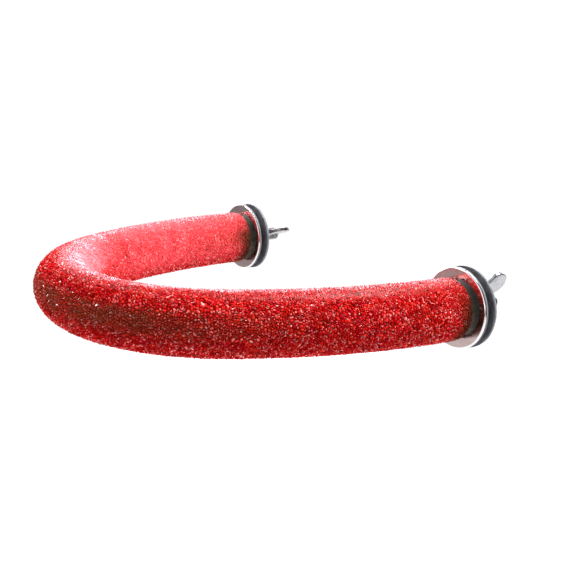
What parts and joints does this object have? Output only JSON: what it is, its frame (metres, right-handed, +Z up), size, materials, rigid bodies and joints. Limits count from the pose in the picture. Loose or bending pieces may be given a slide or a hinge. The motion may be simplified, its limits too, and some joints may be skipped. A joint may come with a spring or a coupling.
{
  "type": "bird perch",
  "caption": "U-shaped bird perch: a red sand-coated wooden bar whose ends clamp to a cage's wire mesh with studs, wide chrome washers and wing nuts.",
  "frame": {"origin": "midway between the axes of the two studs, in the plane of the front washers' rear faces, where they meet the cage mesh", "axes": "+X along the cage wall towards the right leg, +Y through the mesh along the studs towards the wing nuts, +Z up; the perch reaches out along -Y"},
  "size_m": [0.182, 0.1551, 0.032],
  "materials": {
    "red_sand": "coarse quartz sand in red binder",
    "wood_rod": "bare turned hardwood",
    "chrome_washer": "mirror plated",
    "zinc_steel": "bright zinc plated"
  },
  "bodies": {
    "perch": {"perch_core": "wood_rod", "sand_coat": "red_sand", "stud_left": "zinc_steel", "stud_right": "zinc_steel", "front_washer_left": "chrome_washer", "front_washer_right": "chrome_washer"},
    "clamp_washer_left": {"rear_washer_left": "chrome_washer"},
    "clamp_washer_right": {"rear_washer_right": "chrome_washer"},
    "clamp_nut_left": {"wing_nut_left": "zinc_steel"},
    "clamp_nut_right": {"wing_nut_right": "zinc_steel"}
  },
  "joints": [
    {"name": "rear_washer_left_slide", "type": "slide", "parent": "perch", "child": "clamp_washer_left", "axis": [0, 1, 0], "range_m": [-0.003, 0.007]},
    {"name": "rear_washer_right_slide", "type": "slide", "parent": "perch", "child": "clamp_washer_right", "axis": [0, 1, 0], "range_m": [-0.003, 0.007]},
    {"name": "wing_nut_left_turn", "type": "hinge", "parent": "clamp_washer_left", "child": "clamp_nut_left", "pos_m": [-0.075, 0, 0], "axis": [0, 1, 0], "range_deg": [-1080, 2520]},
    {"name": "wing_nut_right_turn", "type": "hinge", "parent": "clamp_washer_right", "child": "clamp_nut_right", "pos_m": [0.075, 0, 0], "axis": [0, 1, 0], "range_deg": [-1080, 2520]}
  ],
  "couplings": [
    {"joint": "wing_nut_left_turn", "follows": "rear_washer_left_slide", "rad_per_m": 6283.2},
    {"joint": "wing_nut_right_turn", "follows": "rear_washer_right_slide", "rad_per_m": 6283.2}
  ]
}
